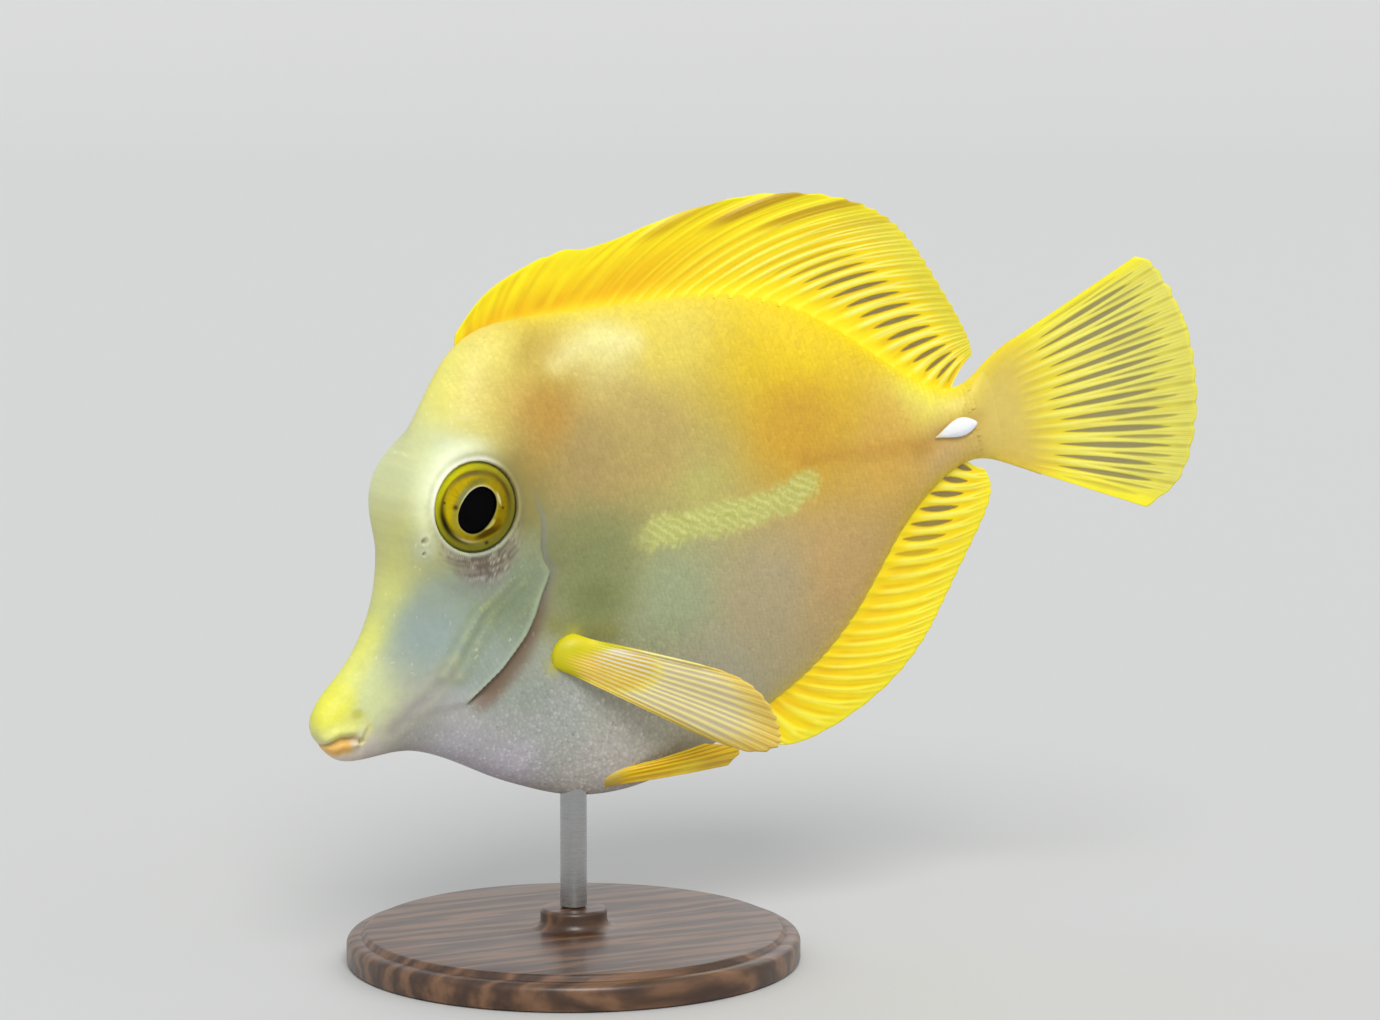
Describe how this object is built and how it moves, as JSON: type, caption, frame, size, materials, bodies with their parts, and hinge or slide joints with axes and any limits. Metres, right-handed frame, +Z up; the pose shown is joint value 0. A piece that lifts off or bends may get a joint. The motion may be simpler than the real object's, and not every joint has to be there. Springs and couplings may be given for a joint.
{
  "type": "yellow tang",
  "caption": "Disc-shaped yellow reef fish with a tubular snout, long back and anal fins, fan tail and small white tail spines, on a rod and round base",
  "frame": {"origin": "centre of the flat underside of the round stand base", "axes": "+Z is up, the head points to -X and the tail to +X, and the fish's left flank faces -Y"},
  "size_m": [0.1341, 0.068, 0.1145],
  "materials": {
    "body_skin": "painted skin with fine scales, satin",
    "face_skin": "painted smooth skin, satin",
    "lip_skin": "painted smooth skin, satin",
    "fin": "thin, slightly see-through membrane on rays",
    "eye": "wet, clear over a gold iris and a black pupil",
    "tail_spine": "smooth white blade",
    "stand_wood": "dark walnut, satin",
    "stand_steel": "brushed"
  },
  "bodies": {
    "root": {"head": "face_skin", "lower_jaw": "lip_skin", "trunk": "body_skin", "tail_stalk": "body_skin", "dorsal_fin": "fin", "anal_fin": "fin", "caudal_fin": "fin", "pectoral_fin_left": "fin", "pectoral_fin_right": "fin", "pelvic_fin_left": "fin", "pelvic_fin_right": "fin", "eye_left": "eye", "eye_right": "eye", "tail_spine_left": "tail_spine", "tail_spine_right": "tail_spine", "stand_base": "stand_wood", "stand_rod": "stand_steel"}
  },
  "joints": []
}
